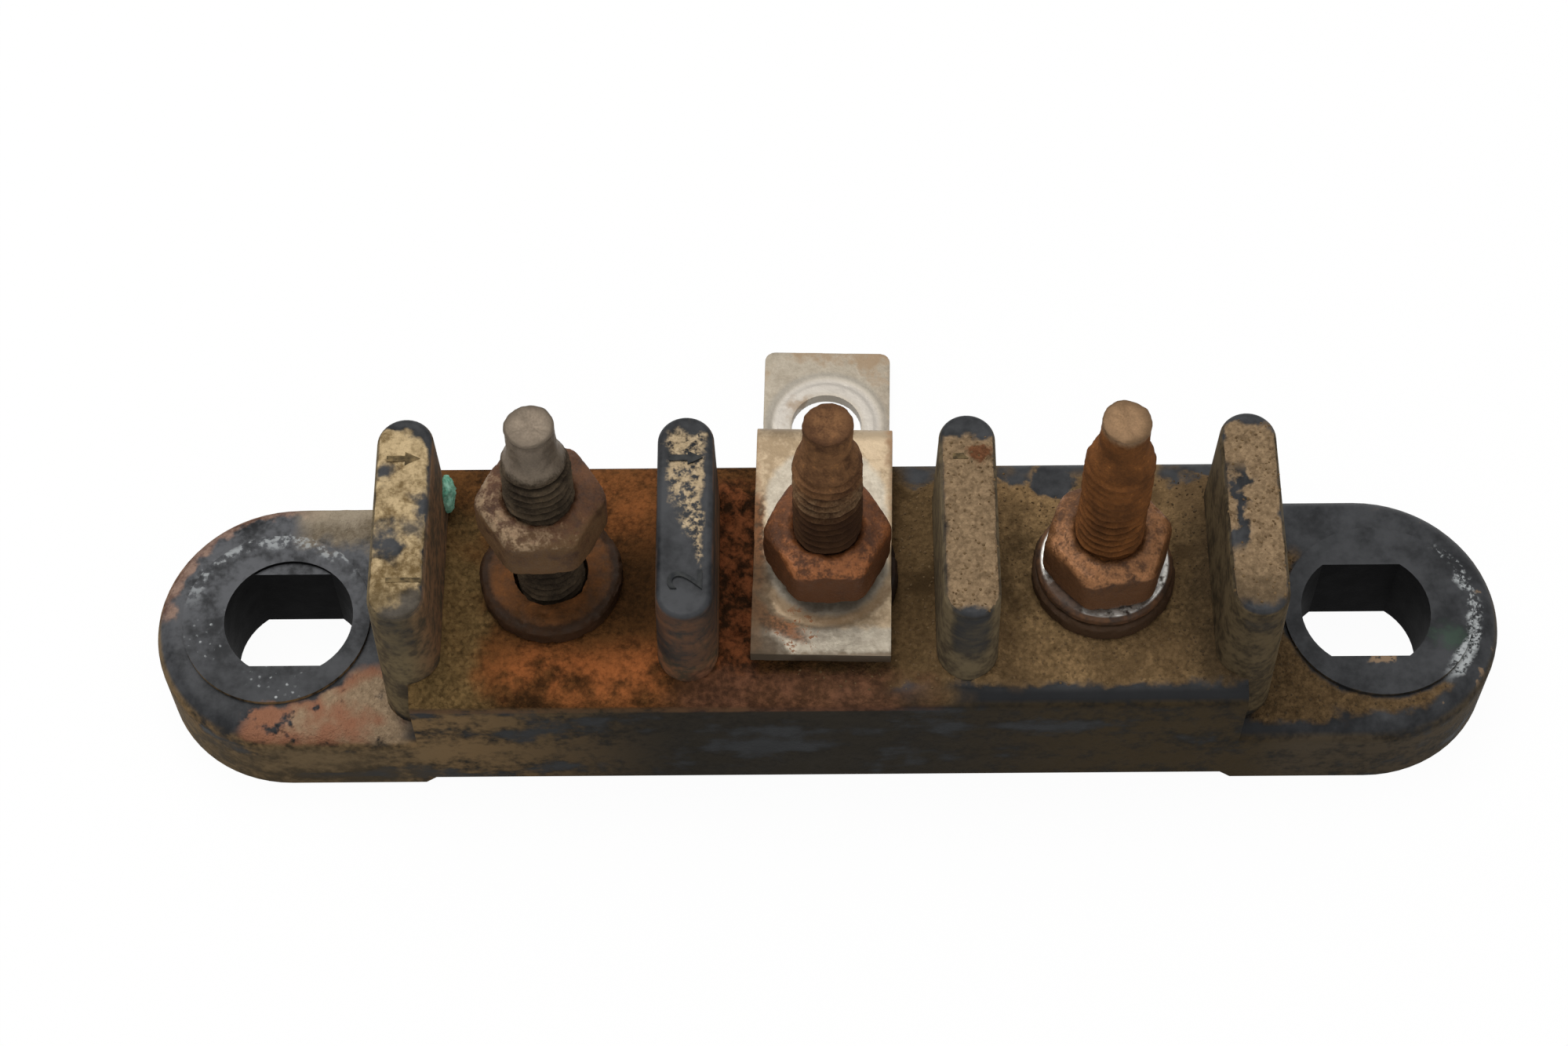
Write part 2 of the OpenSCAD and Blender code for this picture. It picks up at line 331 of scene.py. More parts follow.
def work_over(piece, rule, sizes, change, material):
    """Replace a piece's mesh by what a Geometry Nodes tree makes of it. The sizes are the tree's named
    inputs, and the change gives the new shape from the old one."""
    tree = bpy.data.node_groups.new(rule, "GeometryNodeTree")
    tree.interface.new_socket("Geometry", in_out="INPUT", socket_type="NodeSocketGeometry")
    tree.interface.new_socket("Geometry", in_out="OUTPUT", socket_type="NodeSocketGeometry")
    knobs = {n: tree.interface.new_socket(n, in_out="INPUT", socket_type="NodeSocketFloat") for n in sizes}
    start, end = tree.nodes.new("NodeGroupInput"), tree.nodes.new("NodeGroupOutput")
    facing = Field.node(tree, "GeometryNodeInputNormal")
    spot = Spot(tree, Field.node(tree, "GeometryNodeInputPosition"), facing)
    shape = change(Field(start.outputs["Geometry"]), spot, {n: Field(start.outputs[n]) for n in sizes})
    shape = Field.node(tree, "GeometryNodeRealizeInstances", {}, {"Geometry": shape})
    shape = Field.node(tree, "GeometryNodeSetMaterial", {}, {"Geometry": shape, "Material": material})
    tree.links.new(shape.socket, end.inputs["Geometry"])
    modifier = piece.modifiers.new(rule, "NODES")
    modifier.node_group = tree
    for n, value in sizes.items():
        modifier[knobs[n].identifier] = value
    return keep_mesh(piece)


def reshape(piece, rule, sizes, offset, material, upward=False):
    """Move a piece's surface by a rule, in millimetres along the normal or straight up. The rule also gives
    None, or a share from 0 to 1 that stays on the surface as its mark, for a material to read."""

    def moved(shape, spot, size):
        rise, share = offset(spot, size)
        if share is not None:
            marked = {"Geometry": shape, "Name": MARK, "Value": share}
            kind = {"data_type": "FLOAT", "domain": "POINT"}
            shape = Field.node(spot.tree, "GeometryNodeStoreNamedAttribute", kind, marked)
        way = (0, 0, 1) if upward else spot.normal
        lifted = {"Geometry": shape, "Offset": Spot.scaled(spot.tree, way, rise * MM)}
        return Field.node(spot.tree, "GeometryNodeSetPosition", {}, lifted)

    work_over(piece, rule, sizes, moved, material)
    piece.data.shade_smooth()
    piece.data.set_sharp_from_angle(angle=sharp_from)
    return piece


class Dirt:
    """Where each kind of dirt lies on the moulding, from 0 to 1. Its shape and its colour share it."""

    def __init__(self, spot):
        self.spot = spot
        self.patch = spot.noise(5.0, 2, seed=1)
        self.ragged = spot.noise(1.7, 4, seed=2)
        self.fine = spot.noise(0.55, 3, seed=3)
        self.grain = spot.noise(0.22, 1, seed=4)
        self.streak = spot.noise(3.4, 3, seed=6, stretch=(0.3, 0.3, 1.0))
        self.from_seats = [spot.away(side * seat_x, 0) for side in (-1, 1)]
        self.from_holes = [spot.away(side * hole_x, 0) for side in (-1, 1)]
        self.fill_bays()
        self.crust_barriers()
        self.soil_ears()
        self.wear_ears()
        self.film_walls()

    def blot(self, at_x, at_y, radius, torn=3.0, soft=0.25):
        """A round spot with a torn edge."""
        reach = self.spot.away(at_x, at_y) + self.ragged * torn
        return reach.fall(radius - soft, radius + soft)

    def fill_bays(self):
        """The floor of the bays, bare along the rear edge and along the front roll on the right."""
        x, y, z = self.spot.x, self.spot.y, self.spot.z
        patch, ragged = self.patch, self.ragged
        facing_up = self.spot.up.step(0.12, 0.5)
        floor = z.band(block_top - 1.6, block_top + 2.0, 0.2) * x.band(-bay_reach, bay_reach, 0.2)
        rear_bare = (y + ragged * 5).step(9.3, 10.2) * x.step(5, 8) * (patch + 0.02).step(-0.08, 0.06)
        rear_bare = rear_bare.most(self.blot(20.0, 9.8, 1.9))
        front_bare = (ragged * 2.4 - y).step(10.0, 10.7) * (x + patch * 24).step(3, 12)
        self.bays = floor * facing_up * (1 - rear_bare) * (1 - front_bare)
        roll = floor * (1 - facing_up) * z.fall(block_top, block_top + 0.3)
        self.roll = roll * x.fall(-7.5, -5.5) * (ragged + 0.1).step(-0.1, 0.15)
        patchy = patch * 1.4 + ragged * 0.8 + (x + 22) * 0.012 + 0.1
        strip = x.step(-34, -24) * x.fall(-16.4, -11.4) * (y + patch * 4).band(-11.4, -6.4, 2.0)
        self.rust = strip * self.bays * (patchy.step(-0.16, 0.26) * 0.65 + 0.15)
        self.rust_rear = x.band(-24, -12, 5.0) * y.band(4.5, 11.5, 3.0) * self.bays
        self.flakes = x.band(-9.6, -6.0, 0.35) * (y + patch * 5).band(-9.5, 9.5, 1.5) * self.bays
        front = (y + ragged * 3).fall(-9.6, -8.4)
        self.maroon = (x + patch * 10).band(-13, 7, 2.5) * front * floor

    def crust_barriers(self):
        """The barriers' tops, each with a crust of its own."""
        y, ragged = self.spot.y, self.ragged
        tops = self.spot.z.step(barrier_top - 1.3, barrier_top - 0.5) * self.spot.up.step(0.5, 0.85)
        across = [self.spot.x - b for b in barrier_x]
        on = [tops * c.size().fall(2.8, 2.9) for c in across]

        spots = ((-37.1, -2.3, 1.6), (-33.5, 0.8, 1.4), (-37.8, 4.2, 0.5), (-35.0, -1.0, 1.0))
        torn = [self.blot(*s, torn=5.5, soft=0.8) for s in spots]
        bare = torn[0].most(torn[1]).most(torn[2]).most(torn[3] * 0.75)
        bare = bare.most((y + across[0] * 0.7 + ragged * 3).step(8.0, 8.7))
        bare = bare.most((across[0] + ragged * 2).step(1.9, 2.4)).most((y + ragged * 3).step(7.9, 8.6))
        bare = bare.most((y + ragged * 5 - across[0] * 0.7).fall(-8.4, -7.2) * 0.7)
        self.ochre = on[0] * (1 - bare)

        gold_left = (3.0 - y).most(0.0) * 0.38 - 1.6
        gold = (across[1] - gold_left + ragged * 3).step(-0.3, 0.5) * (y + ragged * 5).band(-5.6, 8.2, 0.5)
        gold = gold * (across[1] + ragged * 2).fall(1.3, 1.8)
        thin = self.fine * 1.5 + self.grain * 0.6 + ragged * 0.6 + (y.least(4.0) - 1.0) * 0.02
        self.gold = on[1] * gold * thin.step(-0.2, 0.2)

        third = (across[2] + ragged * 1.6).step(-2.4, -1.8) * (y + ragged * 4).band(-9.0, 7.4, 0.5)
        third = on[2] * third * (across[2] + ragged * 1.5).fall(2.1, 2.6)
        rubbed = (across[3] - y * 0.08 + ragged * 4).band(-1.8, -0.7, 0.25) * y.band(-3.6, 4.4, 0.8)
        edge = (across[3].size() + ragged * 2.2).step(2.0, 2.5)
        fourth = on[3] * (1 - rubbed) * (1 - edge) * (y + ragged * 3).band(-8.6, 8.4, 0.5)
        self.tan = third.most(fourth)
        self.clot = on[2] * self.blot(13.0, 5.6, 1.2)

    def soil_ears(self):
        """The ears: pink clay and grey soil on the left one, brown soil on the right one."""
        x, y, z = self.spot.x, self.spot.y, self.spot.z
        patch, ragged = self.patch, self.ragged
        low = z.fall(ear_top + 0.6, ear_top + 1.2) * z.step(ear_top - 2.8, ear_top - 2.0)
        self.ears = low * self.spot.up.step(0.25, 0.5)
        left_seat, right_seat = self.from_seats
        left_hole, right_hole = self.from_holes
        ring = (left_hole.most(y) + ragged * 3.4).step(10.3, 11.0) * x.fall(-47, -44)
        self.clay = ring * (y - x * 0.16 + patch * 9).step(9.8, 11.8) * self.ears
        front = (y + ragged * 2).band(-12.2, -5.0, 0.8) * (x + patch * 6).band(-51.5, -37, 1.2)
        front = front * (left_seat + ragged * 2.2).step(8.5, 9.2) * self.ears
        self.clay_front = front * (ragged + patch * 0.7 + x.step(-47, -41) * 0.14).step(-0.13, -0.02)
        self.grey = (x + patch * 5).band(-47, -37, 1.5) * (y + ragged * 5).step(6.4, 8.4) * self.ears
        by_barrier = (x + ragged * 3).band(37, 44.5, 0.8) * (y + patch * 7).fall(4.5, 7)
        along_front = (y + ragged * 3).fall(-7.6, -6.4)
        along_front = along_front * (right_hole + ragged * 2).fall(9.8, 10.5)
        along_front = along_front * (x + patch * 8).fall(55, 58)
        brown = by_barrier.most(along_front) * (right_seat + ragged * 1.2).step(8.4, 8.9) * self.ears
        self.brown = brown * (ragged * 2 - y).fall(10.4, 11.0)

    def wear_ears(self):
        """Scuffs, chips and stains on the ears, on and round the seats that the screws kept clean."""
        x, y = self.spot.x, self.spot.y
        ragged, fine = self.ragged, self.fine
        left_seat, right_seat = self.from_seats
        seats = self.ears * left_seat.least(right_seat).fall(seat_radius - 0.1, seat_radius + 0.1)
        scuffed = (right_seat + ragged * 1.6).band(8.0, 9.2, 0.25) * (x - y.size() * 0.45).step(51.0, 53.5)
        broken = fine * 1.3 + self.grain * 0.8 + ragged * 0.6 - y * 0.03
        scuffed = scuffed * self.ears * broken.step(-0.1, 0.2)
        rubbed = (left_seat + ragged * 2).band(7.4, 8.6, 0.3) * (y - x * 0.2).step(12, 15.5)
        self.scuff = scuffed.most(rubbed * self.ears * (fine + ragged).step(0.0, 0.16) * 0.7)
        whitened = self.spot.away(-54.6, -1.9).fall(1.6, 3.2)
        whitened = whitened.most(self.spot.away(-48.6, -6.4).fall(1.2, 3.4))
        flecks = self.spot.cells(0.6, seed=5).fall(0.12, 0.3) * (fine + ragged * 0.6).step(-0.06, 0.16)
        self.specks = whitened * seats * flecks
        worn_rim = self.from_holes[1].band(10.2, 11.6, 0.3) * x.step(49, 55)
        worn_rim = worn_rim * (self.patch + ragged).step(0.16, 0.22)
        hole_chip = (x + ragged * 2).band(47.9, 50.1, 0.2) * (y + fine).band(-5.2, -4.3, 0.15)
        self.chips = worn_rim.most(hole_chip * (fine + 0.1).step(-0.05, 0.05)) * self.ears
        smeared = self.spot.away(55.2, -2.9) + ragged * 3 + fine * 2
        self.smear = smeared.fall(0.2, 2.0) * self.ears

    def film_walls(self):
        """Thin films on the walls, more of them towards the foot of each barrier."""
        x, y, z, streak = self.spot.x, self.spot.y, self.spot.z, self.streak
        upright = self.spot.up.size().fall(0.4, 0.75)
        # The walls of the screw holes: kept free of films, and given painted shade in the colours.
        self.hole = self.from_holes[0].least(self.from_holes[1]).fall(6.0, 6.6) * upright
        self.wall = upright - self.hole
        end_barrier = x.size().band(33.2, barrier_reach, 0.05) * z.step(ear_top + 0.5, ear_top + 1.0)
        end_barrier = end_barrier * y.size().fall(10.4, 10.6)
        on_barrier = z.step(block_top + 0.1, block_top + 0.6) * x.band(-barrier_reach, barrier_reach, 0.1)
        on_barrier = on_barrier.most(end_barrier)
        foot = z.fall(block_top, block_top + 7.5)
        coated = self.spot.side.step(0.5, 0.9) * (x + 12).size().step(10, 20) * 0.7
        ends = x.step(30, 33) * 0.35 + x.fall(-34, -32) * 0.15
        film = foot * 0.7 + coated + ends + streak * 1.5 + 0.34
        self.barrier_film = on_barrier * self.wall * film.step(0.2, 0.8)
        below = (1 - on_barrier) * self.wall
        self.khaki = below * x.fall(-42, -30) * (streak + 0.24 - (z - 4) * 0.04).step(-0.02, 0.22)
        self.drab = below * (streak + self.patch * 0.6 + self.ragged * 0.4 + 0.16).step(-0.1, 0.14)

    def soft(self):
        """Where anything thick lies on the moulding."""
        share = self.bays.most(self.ochre).most(self.tan).most(self.gold).most(self.clay)
        return share.most(self.clay_front).most(self.grey).most(self.brown)


def soil_rise(spot, size):
    """How far the soil and rust stand off the moulding, in mm."""
    dirt = Dirt(spot)
    lumps = (spot.noise(2.6, 3, seed=11) + 0.16).most(0.0)
    pits = spot.noise(1.1, 4, seed=12).step(-0.02, 0.16)
    near = [(spot.x - b).size() for b in barrier_x]
    fillet = near[0].least(near[1]).least(near[2]).least(near[3]).fall(2.5, 4.2)
    inner = spot.y.size().fall(9.6, 11.2)
    rises = (
        dirt.bays * inner * size["soil"] * (lumps * 1.8 + dirt.fine * 0.9 + 0.15 + fillet * 1.3),
        dirt.rust * inner * size["rust"] * (pits + dirt.fine),
        dirt.flakes * inner * size["flakes"] * (0.7 - pits * 0.9 + dirt.ragged * 1.6),
        dirt.ochre * size["crust"] * (0.7 + dirt.ragged * 1.4 + dirt.fine),
        (dirt.tan + dirt.gold * 0.3) * size["crust"] * (0.7 + dirt.fine * 2.0),
        dirt.clot * size["crust"] * 1.6,
        (dirt.brown + dirt.grey * 0.6) * size["soil"] * (lumps + dirt.fine + 0.3),
        dirt.clay_front * size["crust"] * (0.5 + dirt.ragged * 1.5),
    )
    return sum(rises), dirt.soft()


def layered(colour, *layers):
    """A colour under layers of others, the lowest first: each is a share from 0 to 1 and a colour."""
    for share, over in layers:
        colour = share.blend(colour, over)
    return colour


class MouldingColours(Dirt):
    """The colours of the moulding and of the dirt on it."""

    def __init__(self, spot):
        super().__init__(spot)
        self.tone, self.gap = spot.grains(0.3, seed=7)
        self.coarse = self.tone * 0.5 + self.fine * 1.1 + 0.25
        self.cloud = self.ragged + self.fine * 0.7
        self.level = spot.up.step(0.2, 0.8)

    def walls(self):
        """The moulding, worn and dusty, with the films on its walls."""
        x, y, cloud, streak = self.spot.x, self.spot.y, self.cloud, self.streak
        front_roll = y.fall(-11.2, -10.0) * x.band(0, 40, 2)
        worn = (self.patch + cloud * 0.5 + 0.05).step(-0.25, 0.3) * self.level * (1 - front_roll * 0.9)
        dust = x.fall(-42, -38) * self.level * (cloud + self.patch + 0.1).step(-0.2, 0.3)
        grime = layered(
            paint(148, 120, 84),
            (x.step(-38, -12), paint(54, 49, 41)),
            (x.step(4, 28), paint(72, 60, 42)),
            (x.step(36, 42), paint(86, 75, 60)),
        )
        khaki = (cloud + streak).step(-0.25, 0.3).blend(paint(84, 71, 52), paint(124, 106, 80))
        film = layered(
            paint(148, 104, 74),
            (x.step(-14, 6), paint(132, 116, 88)),
            (x.fall(-36, -32), paint(136, 119, 88)),
            (x.step(30, 33), paint(112, 96, 70)),
        )
        thin_film = x.step(30, 33).blend(paint(84, 73, 58), paint(62, 52, 38))
        return layered(
            worn.blend(self.wall.blend(slate, slate_wall), slate_worn),
            (dust * (y.step(-8, 5) * 0.85 + 0.05), slate_dusty),
            (self.drab * 0.95, (cloud + streak).step(-0.3, 0.2).blend(paint(40, 36, 30), grime)),
            (self.khaki * 0.8, khaki),
            (self.barrier_film * 0.85, (cloud + streak * 0.5).step(-0.25, 0.2).blend(thin_film, film)),
        )

    def bay_soil(self):
        """The soil in the bays, dark and rusty on the left and sandy on the right."""
        x, y, patch, coarse = self.spot.x, self.spot.y, self.patch, self.coarse
        speckle = self.tone - 0.5
        dark = (patch * 1.2 + self.fine * 0.8 + speckle * 0.22).step(-0.3, 0.28)
        olive = (x + patch * 10).fall(-31.5, -28) * (y + patch * 8).fall(2, 8)
        left = layered(
            dark.blend(paint(54, 36, 20), paint(108, 72, 40)),
            (olive * 0.8, coarse.blend(paint(64, 50, 29), paint(152, 124, 80))),
            (x.band(-18.5, -10, 2.0) * y.band(-5.0, 5.0, 2.0) * 0.6, paint(48, 33, 19)),
            (self.gap * 0.15, paint(38, 25, 14)),
        )
        sandy = coarse.blend(paint(78, 61, 40), paint(174, 142, 99))
        near_front = (y + patch * 12).fall(-8, -3) * x.step(6, 12) * 0.45
        right = layered(
            (patch + self.ragged * 0.6).step(-0.26, 0.12).blend(paint(80, 63, 42), sandy),
            (x.fall(9, 13) * 0.6, paint(74, 57, 36)),
            (near_front, coarse.blend(paint(96, 76, 51), paint(168, 136, 96))),
            (self.gap * 0.12, paint(48, 37, 24)),
            ((x + patch * 8).step(28, 34) * 0.9, coarse.blend(paint(52, 43, 30), paint(84, 68, 49))),
            ((y + patch * 6).step(3, 9) * x.step(8, 14) * 0.22, paint(158, 126, 88)),
        )
        glow = (self.cloud + patch * 0.6 + speckle * 0.2).step(-0.34, 0.3)
        glow = glow.blend(paint(96, 58, 33), paint(188, 111, 62))
        return layered(
            x.step(-8, 10).blend(left, right),
            (self.rust.most(self.rust_rear * 0.35), (self.gap * 0.15).blend(glow, paint(66, 38, 22))),
            (self.flakes * 0.9, self.cloud.step(-0.2, 0.24).blend(paint(44, 28, 18), paint(140, 82, 50))),
        )

    def barrier_crusts(self):
        """The layers on the barriers' tops."""
        x, y, coarse = self.spot.x, self.spot.y, self.coarse
        ochre = (self.cloud + self.tone * 0.15 + y * 0.012).step(-0.2, 0.34)
        ochre = layered(
            ochre.blend(paint(116, 95, 62), paint(208, 183, 141)),
            ((y + self.ragged * 4).fall(-9.0, -5.0) * 0.75, paint(96, 82, 58)),
        )
        tan = layered(
            coarse.blend(paint(96, 78, 57), paint(174, 147, 114)),
            ((y + self.ragged * 4).fall(-8.5, -4.5) * x.step(30, 33) * 0.7, paint(76, 64, 49)),
            (self.gap * 0.12, paint(74, 60, 44)),
        )
        return (
            (self.ochre, ochre),
            (self.gold * 0.95, coarse.blend(paint(160, 138, 104), paint(214, 190, 154))),
            (self.tan, tan),
            (self.clot * 0.85, coarse.blend(paint(66, 38, 24), paint(124, 74, 46))),
        )

    def ear_soils(self):
        """The layers on the ears."""
        x, y, coarse = self.spot.x, self.spot.y, self.coarse
        clay = self.cloud.step(-0.2, 0.25).blend(paint(128, 92, 74), paint(188, 150, 126))
        pale_clay = coarse.blend(paint(132, 112, 88), paint(184, 158, 128))
        patchwork = (self.ragged * 0.6 - self.patch + (x + 45) * 0.03).step(-0.1, 0.25)
        grey = coarse.blend(paint(112, 98, 78), paint(156, 142, 120))
        grey = ((y + self.ragged * 3).step(9.0, 11.0) * 0.6).blend(grey, paint(194, 178, 154))
        brown = coarse.blend(paint(62, 48, 32), paint(120, 96, 66))
        return (
            (self.clay * 0.55, clay),
            (self.clay_front * 0.9, patchwork.blend(paint(156, 108, 82), pale_clay)),
            (self.grey * 0.85, grey),
            (self.brown, (self.gap * 0.2).blend(brown, paint(40, 32, 22))),
            (self.scuff * 0.85, paint(184, 188, 188)),
            (self.specks * 0.85, paint(190, 194, 194)),
            (self.chips * 0.8, paint(150, 124, 96)),
            (self.smear * 0.6, paint(62, 82, 68)),
        )


def moulding_recipe(spot):
    """Black moulding under films, soil, clay and rust, from the lowest layer to the top one, with painted
    shade over the walls of the screw holes last.
    """
    dirt = MouldingColours(spot)
    stain = dirt.cloud.step(-0.2, 0.25).blend(paint(78, 53, 40), paint(130, 88, 66))
    colour = layered(
        dirt.walls(),
        (dirt.bays, dirt.bay_soil()),
        (dirt.maroon * 0.75, stain),
        (dirt.roll * 0.7, paint(112, 84, 60)),
        *dirt.barrier_crusts(),
        *dirt.ear_soils(),
        # painted shade: the walls of the screw holes, darker than the moulding anywhere else
        (dirt.hole, paint(15, 15, 16)),
    )
    soft = spot.mark()
    thin = dirt.drab.most(dirt.khaki).most(dirt.barrier_film).most(dirt.maroon).most(dirt.hole)
    relief = soft * (dirt.fine * 0.24 + dirt.grain * 0.12 - dirt.gap * 0.02)
    relief = relief + (1 - soft) * (dirt.grain * 0.012 + dirt.fine * 0.02)
    return {
        "Base Color": colour,
        "Roughness": (0.5 + dirt.ragged * 0.2 + thin * 0.2 + soft * 0.4).least(0.97),
        "Coat Weight": ((1 - soft) * (1 - thin * 0.8) * (dirt.level * 0.2 + 0.04)).most(0.0),
        "Normal": spot.bump(relief),
    }


moulding = finish("weathered_moulding", moulding_recipe, Specular_IOR_Level=0.04, Coat_Roughness=0.42)
base = gridded_copy("base", "moulded_base", grid_step)
reshape(base, "soil_build_up", build_up, soil_rise, moulding, upward=True)
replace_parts(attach(base, "root"), "base")


# Raised marks: an arrow and a number on the tops of the barriers, moulded with the base.
# Each number tells the terminal to its right, where the arrow points, and lies on its side.
# Soil hides most of them now: an arrow shows on three barriers and a number on two.
mark_height, mark_sink = 0.2, 0.3
arrow_length, arrow_head, arrow_span, arrow_shaft = 2.85, 1.3, 1.3, 0.55
number_width, number_curve = 2.9, 6
arrow_places = ((-36.0, 5.65), (-11.95, 5.55), (12.15, 5.5))
number_places = {"1": (-35.4, -6.1), "2": (-11.95, -6.2)}


def raised(outline_mesh, place):
    """A flat outline as a thin block standing on a barrier's top, in millimetres."""
    shell = bmesh.new()
    shell.from_mesh(outline_mesh)
    foot = bmesh.ops.extrude_face_region(shell, geom=shell.faces[:])
    for point in foot["geom"]:
        if isinstance(point, bmesh.types.BMVert):
            point.co.z += mark_height + mark_sink
    bmesh.ops.recalc_face_normals(shell, faces=shell.faces)
    shell.transform(Matrix.Translation((*place, barrier_top - mark_sink)))
    return shell


def arrow_outline():
    """An arrow along x, about its middle."""
    tail, neck, tip = -arrow_length / 2, arrow_length / 2 - arrow_head, arrow_length / 2
    upper = [(tip, 0), (neck, arrow_span / 2), (neck, arrow_shaft / 2), (tail, arrow_shaft / 2)]
    points = upper + [(x, -y) for x, y in reversed(upper[1:])]
    mesh = bpy.data.meshes.new("arrow")
    mesh.from_pydata([(x, y, 0) for x, y in points], [], [tuple(range(len(points)))])
    return mesh


def number_outline(digit):
    """A number turned a quarter left, fitted to its width and centred."""
    text = bpy.data.curves.new(f"number_{digit}", "FONT")
    text.body, text.resolution_u = digit, number_curve
    letter = link(bpy.data.objects.new(f"number_{digit}", text))
    mesh = bpy.data.meshes.new_from_object(letter.evaluated_get(bpy.context.evaluated_depsgraph_get()))
    bpy.data.objects.remove(letter)
    turned = [Vector((-point.co.y, point.co.x, 0)) for point in mesh.vertices]
    low = Vector([min(p[i] for p in turned) for i in range(3)])
    high = Vector([max(p[i] for p in turned) for i in range(3)])
    scale = number_width / (high.x - low.x)
    for point, place in zip(mesh.vertices, turned):
        point.co = (place - (low + high) / 2) * scale
    return mesh


def mark_recipe(spot):
    """The moulding's own black on the second barrier, and a crust of soil over it on the others."""
    cloud = spot.noise(0.8, 3, seed=15)
    black = cloud.step(-0.2, 0.25).blend(paint(38, 40, 42), paint(66, 67, 66))
    crusted = cloud.step(-0.15, 0.2).blend(paint(66, 56, 38), paint(132, 112, 78))
    return {"Base Color": spot.x.band(-24, 0, 1).blend(crusted, black)}


marks = bmesh.new()
outlines = [(arrow_outline(), place) for place in arrow_places]
outlines += [(number_outline(digit), place) for digit, place in number_places.items()]
for outline, place in outlines:
    block = raised(outline, place)
    block.transform(Matrix.Scale(MM, 4))
    joined = bpy.data.meshes.new("mark")
    block.to_mesh(joined)
    block.free()
    marks.from_mesh(joined)
marks_mesh = bpy.data.meshes.new("raised_marks")
marks.to_mesh(marks_mesh)
marks.free()
marks_mesh.materials.append(finish("mark_moulding", mark_recipe, Specular_IOR_Level=0.12, Roughness=0.7))
raised_marks = link(bpy.data.objects.new("raised_marks", marks_mesh))
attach(raised_marks, "root")


# Loose grit: grains of sand and soil that stand out of the dirt in the right-hand bays, on the
# tops of the two right-hand barriers and on the right ear. They are stuck in it and don't move.
grit_sizes = {"grains per mm2": 1.5, "smallest": 0.05, "largest": 0.17}


def scattered(piece, rule, sizes, share, material, seed):
    """Replace a piece's mesh by small round grains that lie where the share is high."""

    def grains(shape, spot, size):
        tree = spot.tree
        density = share(spot) * size["grains per mm2"] / (MM * MM)
        points = {"Mesh": shape, "Density": density, "Seed": seed}
        points = Field.node(tree, "GeometryNodeDistributePointsOnFaces", {}, points)
        ball = Field.node(tree, "GeometryNodeMeshIcoSphere", {}, {"Radius": MM, "Subdivisions": 1})
        ends = ({i: size[end] for i in range(3)} for end in ("smallest", "largest"))
        low, high = (Field.node(tree, "ShaderNodeCombineXYZ", {}, end) for end in ends)
        width = {"Min": low, "Max": high, "Seed": seed + 1}
        width = Field.node(tree, "FunctionNodeRandomValue", {"data_type": "FLOAT_VECTOR"}, width)
        turn = {"Min": (0, 0, 0), "Max": (math.tau, math.tau, math.tau), "Seed": seed + 2}
        turn = Field.node(tree, "FunctionNodeRandomValue", {"data_type": "FLOAT_VECTOR"}, turn)
        placed = {"Points": points, "Instance": ball, "Scale": width, "Rotation": turn}
        return Field.node(tree, "GeometryNodeInstanceOnPoints", {}, placed)

    return work_over(piece, rule, sizes, grains, material)


def gritty(spot):
    """Where soil was built up on the right, by the mark that the base carries."""
    built_up = {"Name": MARK}
    built_up = Field.node(spot.tree, "GeometryNodeInputNamedAttribute", {"data_type": "FLOAT"}, built_up)
    return built_up * spot.x.step(-5, 9) * spot.y.size().fall(10.4, 11.2)


def grit_recipe(spot):
    """Each grain in a tone of its own, from dark brown to pale sand, and darker low down by the fourth
    barrier.
    """
    tone = spot.grains(0.7, seed=17)[0]
    # darker grains low down beside the fourth barrier
    by_fourth_barrier = spot.x.step(27, 33) * spot.z.fall(block_top + 2, block_top + 4) * 0.7
    front_flats_and_grain_tones = tone.blend(paint(92, 73, 50), paint(132, 108, 77))
    return {"Base Color": by_fourth_barrier.blend(front_flats_and_grain_tones, paint(62, 51, 37))}


grit = link(bpy.data.objects.new("soil_grains", base.data.copy()))
sand = finish("dry_grit", grit_recipe, Specular_IOR_Level=0.15, Roughness=0.9)
scattered(grit, "grit_on_soil", grit_sizes, gritty, sand, seed=3)
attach(grit, "root")


# Verdigris: a lump of green copper salts, grown on the wall of the first barrier beside the left
# stud. It is dry and knobbly and holds on by itself, with soil caught in its hollows.
lump_place, lump_radii = Vector((-33.25, 7.2, 18.4)), Vector((0.7, 1.4, 2.15))


def lump_rise(spot, size):
    """Knobbly growth, in mm."""
    knobs = spot.noise(0.9, 4, seed=18) + spot.noise(0.35, 2, seed=19) * 0.4
    return knobs * size["growth"], None


def verdigris_recipe(spot):
    """Blue-green salts with brown soil caught in them."""
    cloud, speck = spot.noise(0.7, 4, seed=20), spot.noise(0.25, 2, seed=22)
    green = (cloud + speck * 0.5).step(-0.2, 0.25).blend(paint(110, 180, 150), paint(186, 244, 218))
    return {"Base Color": (cloud * -1.0 + speck * 0.4).step(0.14, 0.28).blend(green, paint(70, 70, 48))}


lump_shell = bmesh.new()
bmesh.ops.create_icosphere(lump_shell, subdivisions=4, radius=1.0)
lump_shell.transform(Matrix.Translation(lump_place * MM) @ Matrix.Diagonal((*(lump_radii * MM), 1.0)))
lump_mesh = bpy.data.meshes.new("verdigris_lump")
lump_shell.to_mesh(lump_mesh)
lump_shell.free()
verdigris = link(bpy.data.objects.new("verdigris_lump", lump_mesh))
green_salts = finish("verdigris", verdigris_recipe, Specular_IOR_Level=0.15, Roughness=0.92)
reshape(verdigris, "salt_growth", {"growth": 0.9}, lump_rise, green_salts)
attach(verdigris, "root")


